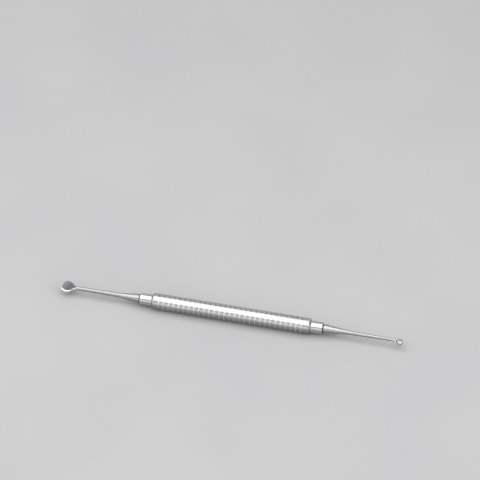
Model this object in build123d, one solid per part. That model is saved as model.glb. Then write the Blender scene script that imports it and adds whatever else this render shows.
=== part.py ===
from build123d import *
from math import cos, pi, sin
import os

# A slim double-ended dental instrument: a small round mouth mirror on one end of a hollow grooved
# handle and a spoon-shaped tip on the other. Both working ends screw into a socket in the handle.
# Millimetres. X is the long axis: the mirror points to -X and the spoon to +X. +Z is the way the
# mirror looks. The origin is on the surface that the handle lies on, midway along the length.

# ---- handle ----
HANDLE_RADIUS = 3.95
HANDLE_LEFT = -38.61            # where the full diameter begins, mirror side
HANDLE_RIGHT = 38.99            # where the full diameter ends, spoon side
TUBE_BORE_RADIUS = 2.75
END_BEVEL_LENGTH = 0.92        # bevel from the full diameter down to the collar
END_LIP_RADIUS = 3.06          # outer radius of the tube's end face

# ---- grip: shallow ring grooves with round bottoms ----
GROOVE_COUNT = 29
GROOVE_WIDTH = 1.0
GROOVE_DEPTH = 0.16
GROOVE_PITCH = 2.54
PLAIN_BAND = 2.33              # smooth band between the bevel and the first groove, mirror side

# ---- collars: the plugs that close the tube and take the working ends ----
MIRROR_COLLAR_RADIUS = 2.93
SPOON_COLLAR_RADIUS = 2.98
MIRROR_COLLAR_LENGTH = 5.93
SPOON_COLLAR_LENGTH = 5.78
COLLAR_BEVEL = 0.18
SPIGOT_LENGTH = 7.0
SPIGOT_BEVEL = 0.4
SOCKET_RADIUS = 1.30
SOCKET_DEPTH = 6.0
SOCKET_POINT = 0.75            # depth of the drill point below the socket
SOCKET_MOUTH = 0.2             # bevel at the socket's mouth

# ---- screw studs, M2.5 x 0.45 ----
THREAD_RADIUS = 1.25
THREAD_PITCH = 0.45
THREAD_ROOT_RADIUS = 0.974
STUD_LENGTH = 5.35
STUD_RUNOUT = 0.75             # plain neck between the shoulder and the thread
STUD_POINT_BEVEL = 0.3

# ---- seal rings between each shoulder and its collar ----
SEAL_THICKNESS = 0.35
SEAL_RADIUS = 2.14
SEAL_HOLE_RADIUS = 1.33

# ---- shanks ----
SHOULDER_RADIUS = 2.3
SHOULDER_BEVEL = 0.15
MIRROR_FLARE_LENGTH = 7.6      # straight cone from the shoulder
MIRROR_FLARE_END_RADIUS = 1.38
MIRROR_SHANK_START = -55.81     # where the slim taper begins
MIRROR_SHANK_START_RADIUS = 1.23
MIRROR_SHANK_END_RADIUS = 0.93
SPOON_FLARE_LENGTH = 8.25
SPOON_FLARE_END_RADIUS = 1.42
SPOON_SHANK_START = 60.79
SPOON_SHANK_START_RADIUS = 1.02
SPOON_SHANK_END = 77.5
SPOON_SHANK_END_RADIUS = 0.76

# ---- mirror head ----
CUP_RADIUS = 3.3
CUP_CENTRE_X = -82.31
CUP_LIP_TOP = 0.58             # above the shank's axis
CUP_BACK = -0.78               # crown of the back, below the axis
CUP_BACK_EDGE = -0.56
CUP_WALL = 0.30
CUP_FLOOR_TOP = -0.36
LIP_OVERHANG = 0.12            # how far the lip is rolled over the glass
LIP_THICKNESS = 0.14
CEMENT_THICKNESS = 0.10
GLASS_CLEARANCE = 0.02
COATING_THICKNESS = 0.05
GLASS_TOP = CUP_LIP_TOP - LIP_THICKNESS - COATING_THICKNESS
NECK_INNER_X = -80.06           # where the neck leaves the cup, inside its wall
NECK_OUTER_X = -77.26
NECK_HALF_WIDTH = 1.75
NECK_HALF_HEIGHT = 0.48
NECK_INNER_HEIGHT = -0.04
NECK_END_RADIUS = 0.98
TENON_RADIUS = 0.50
TENON_LENGTH = 1.5
TENON_CLEARANCE = 0.03         # filled by braze on the real joint
BEAD_LENGTH = 0.35             # braze bead round the end of the neck
BEAD_SEAT_RADIUS = 0.80
BEAD_RISE = 0.06
LIP_ROLL = 0.42                # outer rounding of the lip
BACK_ROLL = 0.16               # outer rounding of the back's edge

# ---- spoon ----
SPOON_WIDEST_X = 83.90
SPOON_SIDE = -0.78             # the bowl sits to one side of the shank's axis
SPOON_RIM_TOP = 0.05           # rim height above the shank's axis
SPOON_BACK_LENGTH = 3.0        # from the widest place back towards the shank
SPOON_FRONT_LENGTH = 1.75      # from the widest place to the tip
SPOON_HALF_WIDTH = 1.80
SPOON_SHELL = 0.30
SPOON_SINK = 0.40              # the bowl's widest section is this far above the rim cut
SPOON_TILT = 12.0              # degrees, rolls the open side towards -Y
NECK_BEND_X = 79.6
NECK_BEND_SIDE = -0.16
NECK_BEND_HEIGHT = -0.07
NECK_BEND_RADIUS = 0.68
NECK_TIP_X = 81.22
NECK_TIP_SIDE = -0.58
NECK_TIP_HEIGHT = -0.22
NECK_TIP_RADIUS = 0.50

# ---- worked out from the sizes above ----
AXIS_HEIGHT = HANDLE_RADIUS
TUBE_LEFT = HANDLE_LEFT - END_BEVEL_LENGTH
TUBE_RIGHT = HANDLE_RIGHT + END_BEVEL_LENGTH
MIRROR_FACE = TUBE_LEFT - MIRROR_COLLAR_LENGTH      # outer face of the mirror-side collar
SPOON_FACE = TUBE_RIGHT + SPOON_COLLAR_LENGTH       # outer face of the spoon-side collar
MIRROR_SHOULDER = MIRROR_FACE - SEAL_THICKNESS
SPOON_SHOULDER = SPOON_FACE + SEAL_THICKNESS
GRIP_START = HANDLE_LEFT + PLAIN_BAND
GLASS_RADIUS = CUP_RADIUS - CUP_WALL - GLASS_CLEARANCE

ROUND = Axis.X


def turned(*edges):
    """Turn a closed outline, drawn as (x, radius), into a solid about the long axis."""
    outline = Plane.XZ * make_face(Wire(edges))
    return revolve(outline, axis=ROUND, revolution_arc=360)


def corners(*points):
    """Straight edges through the given (x, radius) points."""
    return [Edge.make_line((*a, 0), (*b, 0)) for a, b in zip(points, points[1:])]


def closed(*points):
    """Straight edges through the given points and back to the first."""
    return corners(*points, points[0])


def disc(radius, low, high):
    """An upright round plate at the mirror head, between two heights over the shank's axis."""
    plate = Cylinder(radius, high - low, align=(Align.CENTER, Align.CENTER, Align.MIN))
    return Pos(CUP_CENTRE_X, 0, low) * plate


def raise_to_axis(solid):
    """Lift a solid drawn about Z = 0 so that the handle lies on the surface."""
    return Pos(0, 0, AXIS_HEIGHT) * solid


def groove(start):
    """One round-bottomed groove in the handle's outline, from its left edge."""
    return Edge.make_three_point_arc(
        (start, HANDLE_RADIUS, 0),
        (start + GROOVE_WIDTH / 2, HANDLE_RADIUS - GROOVE_DEPTH, 0),
        (start + GROOVE_WIDTH, HANDLE_RADIUS, 0),
    )


def handle_tube():
    """Hollow handle with ring grooves along the grip and a bevel at each end."""
    edges = corners((TUBE_LEFT, END_LIP_RADIUS), (HANDLE_LEFT, HANDLE_RADIUS))
    last = HANDLE_LEFT
    for index in range(GROOVE_COUNT):
        start = GRIP_START + index * GROOVE_PITCH
        edges += corners((last, HANDLE_RADIUS), (start, HANDLE_RADIUS))
        edges.append(groove(start))
        last = start + GROOVE_WIDTH
    edges += corners(
        (last, HANDLE_RADIUS),
        (HANDLE_RIGHT, HANDLE_RADIUS),
        (TUBE_RIGHT, END_LIP_RADIUS),
        (TUBE_RIGHT, TUBE_BORE_RADIUS),
        (TUBE_LEFT, TUBE_BORE_RADIUS),
        (TUBE_LEFT, END_LIP_RADIUS),
    )
    return turned(*edges)


def collar(radius, face, shoulder):
    """Plug with a pressed spigot; face is its outer end and shoulder rests on the tube's end."""
    inward = 1 if shoulder > face else -1
    spigot_end = shoulder + inward * SPIGOT_LENGTH
    return turned(*closed(
        (face, SOCKET_RADIUS + SOCKET_MOUTH),
        (face, radius - COLLAR_BEVEL),
        (face + inward * COLLAR_BEVEL, radius),
        (shoulder, radius),
        (shoulder, TUBE_BORE_RADIUS),
        (spigot_end - inward * SPIGOT_BEVEL, TUBE_BORE_RADIUS),
        (spigot_end, TUBE_BORE_RADIUS - SPIGOT_BEVEL),
        (spigot_end, 0),
        (face + inward * (SOCKET_DEPTH + SOCKET_POINT), 0),
        (face + inward * SOCKET_DEPTH, SOCKET_RADIUS),
        (face + inward * SOCKET_MOUTH, SOCKET_RADIUS),
    ))


def seal_ring(face, shoulder):
    """Thin flat seal between a shank's shoulder and the collar."""
    return turned(*closed(
        (face, SEAL_HOLE_RADIUS),
        (face, SEAL_RADIUS),
        (shoulder, SEAL_RADIUS),
        (shoulder, SEAL_HOLE_RADIUS),
    ))


def stud():
    """Threaded stud along +Z from the origin: a plain neck, then a right-hand screw thread."""
    thread_length = STUD_LENGTH - STUD_RUNOUT
    core = Cylinder(THREAD_ROOT_RADIUS, STUD_LENGTH, align=(Align.CENTER, Align.CENTER, Align.MIN))
    path = Helix(pitch=THREAD_PITCH, height=thread_length - THREAD_PITCH, radius=THREAD_ROOT_RADIUS)
    root = THREAD_ROOT_RADIUS - 0.04
    ridge = Plane.XZ * make_face(Wire([
        Edge.make_line((root, -0.20, 0), (THREAD_RADIUS, -0.035, 0)),
        Edge.make_line((THREAD_RADIUS, -0.035, 0), (THREAD_RADIUS, 0.035, 0)),
        Edge.make_line((THREAD_RADIUS, 0.035, 0), (root, 0.20, 0)),
        Edge.make_line((root, 0.20, 0), (root, -0.20, 0)),
    ]))
    ridge = sweep(ridge, path=path, is_frenet=True)
    thread = Pos(0, 0, STUD_RUNOUT + THREAD_PITCH / 2) * ridge
    envelope = Cylinder(THREAD_RADIUS + 0.1, STUD_LENGTH, align=(Align.CENTER, Align.CENTER, Align.MIN))
    envelope = chamfer(envelope.edges().group_by(Axis.Z)[-1], STUD_POINT_BEVEL + 0.1)
    return (core + thread) & envelope


def shank_edges(shoulder, outward, flare_length, flare_radius, start, start_radius, end, end_radius):
    """The (x, radius) outline of a shank: shoulder, straight flare, smooth blend, slim taper."""
    flare_end = shoulder + outward * flare_length
    flare_slope = (flare_radius - SHOULDER_RADIUS) / (flare_length - SHOULDER_BEVEL)
    taper_slope = (end_radius - start_radius) / abs(end - start)
    blend = Edge.make_spline(
        [Vector(flare_end, flare_radius), Vector(start, start_radius)],
        tangents=[Vector(outward, flare_slope), Vector(outward, taper_slope)],
    )
    edges = corners(
        (shoulder, 0),
        (shoulder, SHOULDER_RADIUS - SHOULDER_BEVEL),
        (shoulder + outward * SHOULDER_BEVEL, SHOULDER_RADIUS),
        (flare_end, flare_radius),
    )
    return edges + [blend] + corners((start, start_radius), (end, end_radius))


def mirror_stem():
    """Shank of the mirror end, with its screw stud and the thin tenon that enters the neck."""
    bead_end = NECK_OUTER_X + BEAD_LENGTH
    edges = shank_edges(
        MIRROR_SHOULDER, -1, MIRROR_FLARE_LENGTH, MIRROR_FLARE_END_RADIUS,
        MIRROR_SHANK_START, MIRROR_SHANK_START_RADIUS, bead_end, MIRROR_SHANK_END_RADIUS,
    )
    edges += corners(
        (bead_end, MIRROR_SHANK_END_RADIUS),
        (bead_end, BEAD_SEAT_RADIUS),
        (NECK_OUTER_X, BEAD_SEAT_RADIUS),
        (NECK_OUTER_X, TENON_RADIUS),
        (NECK_OUTER_X - TENON_LENGTH, TENON_RADIUS),
        (NECK_OUTER_X - TENON_LENGTH, 0),
        (MIRROR_SHOULDER, 0),
    )
    return turned(*edges) + Pos(MIRROR_SHOULDER, 0, 0) * Rot(0, 90, 0) * stud()


def braze_bead():
    """Ring of filler metal round the joint between the neck and the shank."""
    bead_end = NECK_OUTER_X + BEAD_LENGTH
    crown = Edge.make_three_point_arc(
        (NECK_OUTER_X, NECK_END_RADIUS, 0),
        (NECK_OUTER_X + BEAD_LENGTH / 2, NECK_END_RADIUS + BEAD_RISE, 0),
        (bead_end, MIRROR_SHANK_END_RADIUS, 0),
    )
    return turned(
        *corners((NECK_OUTER_X, BEAD_SEAT_RADIUS), (NECK_OUTER_X, NECK_END_RADIUS)),
        crown,
        *corners(
            (bead_end, MIRROR_SHANK_END_RADIUS),
            (bead_end, BEAD_SEAT_RADIUS),
            (NECK_OUTER_X, BEAD_SEAT_RADIUS),
        ),
    )


def mirror_cup():
    """Round cup with a domed back, a rolled lip over the glass and a neck bored for the tenon."""
    lip_inner = GLASS_RADIUS - LIP_OVERHANG
    wall_top = CUP_LIP_TOP - LIP_ROLL
    wall_foot = CUP_BACK_EDGE + BACK_ROLL
    back = Edge.make_three_point_arc(
        (0, CUP_BACK, 0),
        (CUP_RADIUS / 2, CUP_BACK + (CUP_BACK_EDGE - CUP_BACK) / 4, 0),
        (CUP_RADIUS - BACK_ROLL, CUP_BACK_EDGE, 0),
    )
    back_roll = Edge.make_three_point_arc(
        (CUP_RADIUS - BACK_ROLL, CUP_BACK_EDGE, 0),
        (CUP_RADIUS - BACK_ROLL * (1 - cos(pi / 4)), wall_foot - BACK_ROLL * sin(pi / 4), 0),
        (CUP_RADIUS, wall_foot, 0),
    )
    lip_roll = Edge.make_three_point_arc(
        (CUP_RADIUS, wall_top, 0),
        (CUP_RADIUS - LIP_ROLL * (1 - cos(pi / 4)), wall_top + LIP_ROLL * sin(pi / 4), 0),
        (CUP_RADIUS - LIP_ROLL, CUP_LIP_TOP, 0),
    )
    outline = make_face(Wire([
        back,
        back_roll,
        *corners((CUP_RADIUS, wall_foot), (CUP_RADIUS, wall_top)),
        lip_roll,
        *corners((CUP_RADIUS - LIP_ROLL, CUP_LIP_TOP), (0, CUP_LIP_TOP), (0, CUP_BACK)),
    ]))
    blank = Pos(CUP_CENTRE_X, 0, 0) * revolve(Plane.XZ * outline, axis=Axis.Z, revolution_arc=360)
    neck = loft([
        Plane((NECK_INNER_X, 0, NECK_INNER_HEIGHT), x_dir=(0, 1, 0), z_dir=(1, 0, 0))
        * Ellipse(NECK_HALF_WIDTH, NECK_HALF_HEIGHT),
        Plane((NECK_OUTER_X, 0, 0), x_dir=(0, 1, 0), z_dir=(1, 0, 0)) * Circle(NECK_END_RADIUS),
    ])
    bore_depth = TENON_LENGTH + TENON_CLEARANCE
    bore = Pos(NECK_OUTER_X, 0, 0) * Rot(0, -90, 0) * Cylinder(
        TENON_RADIUS + TENON_CLEARANCE, bore_depth, align=(Align.CENTER, Align.CENTER, Align.MIN)
    )
    cavity = disc(CUP_RADIUS - CUP_WALL, CUP_FLOOR_TOP, CUP_LIP_TOP - LIP_THICKNESS)
    mouth = disc(lip_inner, CUP_FLOOR_TOP, CUP_LIP_TOP + NECK_END_RADIUS)
    return blank + neck - cavity - mouth - bore


def egg(back, front, radius):
    """A solid egg about the X axis, widest at the origin, with its blunt end to +X."""
    outline = make_face(Wire([
        Edge.make_ellipse(front, radius, start_angle=0, end_angle=90),
        Edge.make_ellipse(back, radius, start_angle=90, end_angle=180),
        Edge.make_line((-back, 0, 0), (front, 0, 0)),
    ]))
    return revolve(Plane.XZ * outline, axis=Axis.X, revolution_arc=360)


def spoon_tip():
    """Shank of the spoon end, bent a little to one side and ending in an open bowl."""
    edges = shank_edges(
        SPOON_SHOULDER, 1, SPOON_FLARE_LENGTH, SPOON_FLARE_END_RADIUS,
        SPOON_SHANK_START, SPOON_SHANK_START_RADIUS, SPOON_SHANK_END, SPOON_SHANK_END_RADIUS,
    )
    edges += corners((SPOON_SHANK_END, SPOON_SHANK_END_RADIUS), (SPOON_SHANK_END, 0), (SPOON_SHOULDER, 0))
    shank = turned(*edges) + Pos(SPOON_SHOULDER, 0, 0) * Rot(0, -90, 0) * stud()
    bend = loft([
        Plane((x, side, height), x_dir=(0, 1, 0), z_dir=(1, 0, 0)) * Circle(radius)
        for x, side, height, radius in (
            (SPOON_SHANK_END, 0, 0, SPOON_SHANK_END_RADIUS),
            (NECK_BEND_X, NECK_BEND_SIDE, NECK_BEND_HEIGHT, NECK_BEND_RADIUS),
            (NECK_TIP_X, NECK_TIP_SIDE, NECK_TIP_HEIGHT, NECK_TIP_RADIUS),
        )
    ])
    place = Pos(SPOON_WIDEST_X, SPOON_SIDE, SPOON_RIM_TOP) * Rot(SPOON_TILT, 0, 0)
    place = place * Pos(0, 0, SPOON_SINK)
    below_rim = Pos(0, 0, -SPOON_SINK) * Box(
        3 * SPOON_BACK_LENGTH, 3 * SPOON_HALF_WIDTH, 2 * SPOON_HALF_WIDTH,
        align=(Align.CENTER, Align.CENTER, Align.MAX),
    )
    bowl = place * (egg(SPOON_BACK_LENGTH, SPOON_FRONT_LENGTH, SPOON_HALF_WIDTH) & below_rim)
    hollow = place * egg(
        SPOON_BACK_LENGTH - SPOON_SHELL, SPOON_FRONT_LENGTH - SPOON_SHELL, SPOON_HALF_WIDTH - SPOON_SHELL
    )
    return shank + bend + bowl - hollow


def all_parts():
    """Every separate piece by its node name, lifted so that the handle lies on the surface."""
    cement_top = CUP_FLOOR_TOP + CEMENT_THICKNESS
    parts = {
        "handle_tube": handle_tube(),
        "mirror_collar": collar(MIRROR_COLLAR_RADIUS, MIRROR_FACE, TUBE_LEFT),
        "spoon_collar": collar(SPOON_COLLAR_RADIUS, SPOON_FACE, TUBE_RIGHT),
        "mirror_seal_ring": seal_ring(MIRROR_FACE, MIRROR_SHOULDER),
        "spoon_seal_ring": seal_ring(SPOON_FACE, SPOON_SHOULDER),
        "mirror_stem": mirror_stem(),
        "braze_bead": braze_bead(),
        "mirror_cup": mirror_cup(),
        "glass_cement": disc(GLASS_RADIUS, CUP_FLOOR_TOP, cement_top),
        "mirror_glass": disc(GLASS_RADIUS, cement_top, GLASS_TOP),
        "mirror_coating": disc(GLASS_RADIUS, GLASS_TOP, GLASS_TOP + COATING_THICKNESS),
        "spoon_tip": spoon_tip(),
    }
    return {name: raise_to_axis(solid) for name, solid in parts.items()}


if __name__ == "__main__":
    os.makedirs("parts", exist_ok=True)
    for name, solid in all_parts().items():
        export_step(solid, f"parts/{name}.step")
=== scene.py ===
"""Finished surfaces and studio for a slim double-ended mouth mirror.

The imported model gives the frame: its sizes, bodies and joints. This script builds the turned,
grooved and screwed metal round it, dresses every piece with its own finish, and sets a plain
pale floor, soft light and a long lens. Lengths are in metres; MM turns millimetres into metres.
"""

import logging
import math
from dataclasses import dataclass
from enum import Enum
from typing import Any, Callable, ClassVar, Iterable, Optional, Sequence, Union

import bpy
import bmesh
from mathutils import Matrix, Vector


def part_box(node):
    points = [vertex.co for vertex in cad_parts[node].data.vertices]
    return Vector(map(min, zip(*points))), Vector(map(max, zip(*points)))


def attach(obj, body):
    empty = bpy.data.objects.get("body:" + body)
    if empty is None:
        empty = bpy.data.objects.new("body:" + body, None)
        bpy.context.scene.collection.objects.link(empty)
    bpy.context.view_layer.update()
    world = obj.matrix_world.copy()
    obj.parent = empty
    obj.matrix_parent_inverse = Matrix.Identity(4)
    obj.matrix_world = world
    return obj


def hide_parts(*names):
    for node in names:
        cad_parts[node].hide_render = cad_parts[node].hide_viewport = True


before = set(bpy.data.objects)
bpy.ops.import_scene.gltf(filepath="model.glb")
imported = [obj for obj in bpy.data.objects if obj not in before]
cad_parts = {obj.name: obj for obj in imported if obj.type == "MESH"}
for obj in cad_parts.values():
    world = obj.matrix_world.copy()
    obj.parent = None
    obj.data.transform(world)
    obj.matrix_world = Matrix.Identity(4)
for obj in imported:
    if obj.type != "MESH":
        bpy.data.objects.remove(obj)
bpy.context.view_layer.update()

MM = 0.001
MICRON = 0.000001
TURN = 2 * math.pi
SHARP_DEGREES = 38.0

log = logging.getLogger("mouth_mirror")

Point = tuple[float, float]
Spot = tuple[float, float, float]
Colour = tuple[float, float, float, float]
Number = Union[float, "Wire"]
Settings = Optional[dict[str, Any]]
Sockets = Optional[dict[Union[str, int], Any]]
Looks = tuple["Wire", "Wire", Optional["Wire"]]


class Body(Enum):
    """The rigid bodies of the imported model."""

    HANDLE = "handle"
    MIRROR_END = "mirror_end"
    SPOON_END = "spoon_end"
    MIRROR_SEAL = "mirror_seal"
    SPOON_SEAL = "spoon_seal"


class Slot(Enum):
    """The record's material slots."""

    HANDLE = "handle_steel"
    COLLAR = "collar_steel"
    SHANK = "shank_steel"
    CUP = "cup_steel"
    BRAZE = "braze"
    CEMENT = "cement"
    GLASS = "glass"
    FACE = "mirror_face"
    SEAL = "seal_rubber"


class Side(Enum):
    """The way that a working end points along the instrument."""

    MIRROR = -1
    SPOON = 1


# ---- Node trees ----


def arithmetic(operation: str, swapped: bool = False) -> Callable[["Wire", Number], "Wire"]:
    """A method of Wire that adds a Math node.

    Args:
        operation: the node's operation.
        swapped: puts the other value first.

    Returns:
        The method.
    """

    def apply(wire: "Wire", other: Number) -> "Wire":
        """The Math node's result."""
        return wire.tree.math(operation, *((other, wire) if swapped else (wire, other)))

    return apply


class Wire:
    """One output socket, with arithmetic that adds Math nodes to its tree."""

    __add__ = arithmetic("ADD")
    __radd__ = arithmetic("ADD", swapped=True)
    __sub__ = arithmetic("SUBTRACT")
    __rsub__ = arithmetic("SUBTRACT", swapped=True)
    __mul__ = arithmetic("MULTIPLY")
    __rmul__ = arithmetic("MULTIPLY", swapped=True)
    __truediv__ = arithmetic("DIVIDE")

    def __init__(self, tree: "Tree", socket: bpy.types.NodeSocket) -> None:
        """Wraps an output socket of a tree that new nodes are added to."""
        self.tree = tree
        self.socket = socket


class Tree:
    """Adds nodes to one shader or geometry tree."""

    def __init__(self, tree: bpy.types.NodeTree) -> None:
        """Empties the tree and writes in it."""
        self.tree = tree
        tree.nodes.clear()

    def node(self, kind: str, settings: Settings = None, sockets: Sockets = None) -> bpy.types.Node:
        """Adds a node.

        Args:
            kind: the node's type, such as ShaderNodeMath.
            settings: properties that are set before the sockets.
            sockets: values or wires by input name or index.

        Returns:
            The new node.
        """
        node = self.tree.nodes.new(kind)
        for name, value in (settings or {}).items():
            setattr(node, name, value)
        for name, value in (sockets or {}).items():
            target = node.inputs[name]
            if isinstance(value, Wire):
                self.tree.links.new(value.socket, target)
            else:
                target.default_value = value
        return node

    def wire(
        self, kind: str, settings: Settings = None, sockets: Sockets = None, output: Union[str, int] = 0
    ) -> Wire:
        """Adds a node and returns one of its outputs, by name or index."""
        return Wire(self, self.node(kind, settings, sockets).outputs[output])

    def math(self, operation: str, *values: Number) -> Wire:
        """A Math node's result, from its operation and its inputs in order."""
        return self.wire("ShaderNodeMath", {"operation": operation}, dict(enumerate(values)))

    def ramp(self, value: Number, start: float, end: float, falling: bool = False) -> Wire:
        """A number eased from 0 to 1 as a value goes from start to end, or from 1 to 0.

        Args:
            value: the value to look up.
            start: where the change starts.
            end: where it ends.
            falling: goes from 1 to 0.

        Returns:
            The number.
        """
        node = self.node("ShaderNodeValToRGB", None, {"Fac": value})
        node.color_ramp.interpolation = "EASE"
        greys = (1.0, 0.0) if falling else (0.0, 1.0)
        for element, position, grey in zip(node.color_ramp.elements, (start, end), greys):
            element.position = position
            element.color = (grey, grey, grey, 1.0)
        return Wire(self, node.outputs[0])

    def blend(self, amount: Number, low: Any, high: Any) -> Wire:
        """A mix of two colours or wires, low at 0 and high at 1."""
        return self.wire("ShaderNodeMix", {"data_type": "RGBA"}, {0: amount, 6: low, 7: high}, 2)


# ---- Finishes ----


@dataclass(frozen=True)
class Place:
    """Where the instrument's axis runs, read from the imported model."""

    axis_height: float
    left: float
    right: float

    @staticmethod
    def read() -> "Place":
        """Reads the handle's box."""
        low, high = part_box("handle_tube")
        return Place((low.z + high.z) / 2, low.x, high.x)


class Pattern:
    """Coordinates and textures of one material, all in object space."""

    def __init__(self, name: str, place: Place) -> None:
        """Starts a material.

        Args:
            name: the material's name.
            place: where the instrument's axis runs.
        """
        self.material = bpy.data.materials.new(name)
        self.material.use_nodes = True
        self.tree = Tree(self.material.node_tree)
        coordinates = self.tree.wire("ShaderNodeTexCoord", output="Object")
        parts = self.tree.node("ShaderNodeSeparateXYZ", None, {0: coordinates})
        self.point = coordinates
        self.along = Wire(self.tree, parts.outputs[0])
        self.side = Wire(self.tree, parts.outputs[1])
        self.height = Wire(self.tree, parts.outputs[2]) - place.axis_height
        self.radius = self.tree.math("SQRT", self.side * self.side + self.height * self.height)

    def noise(
        self, scale: float, detail: float = 2.0, roughness: float = 0.5, stretch: Spot = (1.0, 1.0, 1.0)
    ) -> Wire:
        """Smooth noise in object space.

        Args:
            scale: cells per metre.
            detail: octaves.
            roughness: weight of the fine octaves.
            stretch: scale along X, Y and Z.

        Returns:
            The noise, about 0 to 1.
        """
        mapped = self.tree.wire("ShaderNodeMapping", None, {"Vector": self.point, "Scale": stretch})
        sockets: Sockets = {"Vector": mapped, "Scale": scale, "Detail": detail, "Roughness": roughness}
        return self.tree.wire("ShaderNodeTexNoise", None, sockets)

    def line_noise(self, value: Number, scale: float, detail: float = 2.0) -> Wire:
        """Noise along one number, for lines left by a cutting tool.

        Args:
            value: the coordinate across the lines.
            scale: lines per metre.
            detail: octaves.

        Returns:
            The noise, about 0 to 1.
        """
        sockets: Sockets = {"W": value, "Scale": scale, "Detail": detail}
        return self.tree.wire("ShaderNodeTexNoise", {"noise_dimensions": "1D"}, sockets)

    def cells(self, scale: float) -> Wire:
        """Distance to the nearest of so many cell points in a metre, for pits and specks."""
        sockets: Sockets = {"Vector": self.point, "Scale": scale}
        return self.tree.wire("ShaderNodeTexVoronoi", None, sockets, "Distance")

    def bump(self, height: Wire, depth: float, strength: float, under: Optional[Wire] = None) -> Wire:
        """A bump from a height.

        Args:
            height: the height, 0 to 1.
            depth: what 1 stands for, in metres.
            strength: share of the effect.
            under: an earlier bump to add to.

        Returns:
            The normal.
        """
        sockets: Sockets = {"Height": height, "Distance": depth, "Strength": strength}
        if under is not None:
            sockets["Normal"] = under
        return self.tree.wire("ShaderNodeBump", None, sockets)

    def finish(self, fixed: dict[str, float], looks: Looks) -> bpy.types.Material:
        """Closes the material with a Principled shader.

        Args:
            fixed: plain numbers by socket.
            looks: colour, roughness and, where the surface isn't flat, the normal.

        Returns:
            The material.
        """
        named = zip(("Base Color", "Roughness", "Normal"), looks)
        sockets = {**fixed, **{name: wire for name, wire in named if wire is not None}}
        shader = self.tree.wire("ShaderNodeBsdfPrincipled", None, sockets)
        self.tree.node("ShaderNodeOutputMaterial", None, {"Surface": shader})
        return self.material


def rgb(red: float, green: float, blue: float) -> Colour:
    """A colour with full alpha."""
    return (red, green, blue, 1.0)


@dataclass(frozen=True)
class Finish:
    """A material; each kind adds nodes of its own for the colour, roughness and normal."""

    name: str
    place: Place
    fixed: ClassVar[dict[str, float]] = {"Metallic": 1.0}

    def paint(self, p: Pattern) -> Looks:
        """Adds the kind's own nodes."""
        raise NotImplementedError

    def build(self) -> bpy.types.Material:
        """Makes the material."""
        pattern = Pattern(self.name, self.place)
        return pattern.finish(self.fixed, self.paint(pattern))


@dataclass(frozen=True)
class GripSteel(Finish):
    """Satin stainless steel with turned lines, painted shade on its underside, and grooves with a painted
    highlight in front and painted shade behind.
    """

    first_groove: float
    last_groove: float
    groove_pitch: float
    groove_width: float
    land: Colour = rgb(0.415, 0.407, 0.403)
    worn: Colour = rgb(0.365, 0.357, 0.353)
    # Painted shade: the darker colour painted on the underside.
    under: Colour = rgb(0.27, 0.262, 0.258)
    # Painted highlight and painted shade: the grooves' colour in front and behind.
    painted_lit_groove: Colour = rgb(0.60, 0.595, 0.59)
    painted_shaded_groove: Colour = rgb(0.20, 0.195, 0.19)
    roughness: float = 0.24
    least_radius: float = 3.2 * MM
    painted_shade_span: float = 8.0 * MM
    painted_groove_shade_span: float = 4.0 * MM

    def paint(self, p: Pattern) -> Looks:
        """Adds the finish's own nodes."""
        tree = p.tree
        lap = (p.along - self.first_groove) / self.groove_pitch
        share = tree.math("FRACT", lap) * (self.groove_pitch / self.groove_width)
        inside = tree.math("MINIMUM", share, 1.0)
        off_centre = inside * 2.0 - 1.0
        outside = tree.math("GREATER_THAN", p.radius, self.least_radius)
        past_first = tree.math("GREATER_THAN", p.along, self.first_groove)
        before_last = tree.math("LESS_THAN", p.along, self.last_groove)
        bowl = (1.0 - off_centre * off_centre) * outside * past_first * before_last
        lines = p.line_noise(p.along, 26000.0, detail=3.0)
        coarse_lines = p.line_noise(p.along, 5200.0, detail=1.0)
        handled = p.noise(150.0, detail=3.0, roughness=0.55)
        grain = p.noise(9000.0, detail=2.0, roughness=0.6, stretch=(1.0, 0.25, 0.25))
        scratches = p.noise(2600.0, detail=2.0, roughness=0.7, stretch=(6.0, 0.35, 0.35))
        scuffs = tree.ramp(scratches, 0.60, 0.74)
        wear = tree.ramp(grain * 0.4 + coarse_lines * 0.3 + handled * 0.3, 0.3, 0.7)
        surface = tree.blend(wear, self.land, self.worn)
        # Painted shade: the colour darkens towards the underside of the handle.
        painted_underside_shade = tree.ramp(p.height / self.painted_shade_span + 0.5, 0.52, 0.64, falling=True)
        surface = tree.blend(painted_underside_shade, surface, self.under)
        # Painted highlight in the front half of the grooves and painted shade in the back half.
        behind = tree.ramp(p.side / self.painted_groove_shade_span + 0.5, 0.45, 0.55)
        painted_groove_light = tree.blend(behind, self.painted_lit_groove, self.painted_shaded_groove)
        colour = tree.blend(tree.ramp(bowl, 0.65, 0.98), surface, painted_groove_light)
        rough = self.roughness - bowl * 0.06 + (handled - 0.5) * 0.16 + (lines - 0.5) * 0.10 - scuffs * 0.05
        normal = p.bump(lines, depth=1.6 * MICRON, strength=0.55)
        normal = p.bump(grain, depth=1.2 * MICRON, strength=0.5, under=normal)
        return colour, rough, normal


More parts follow.
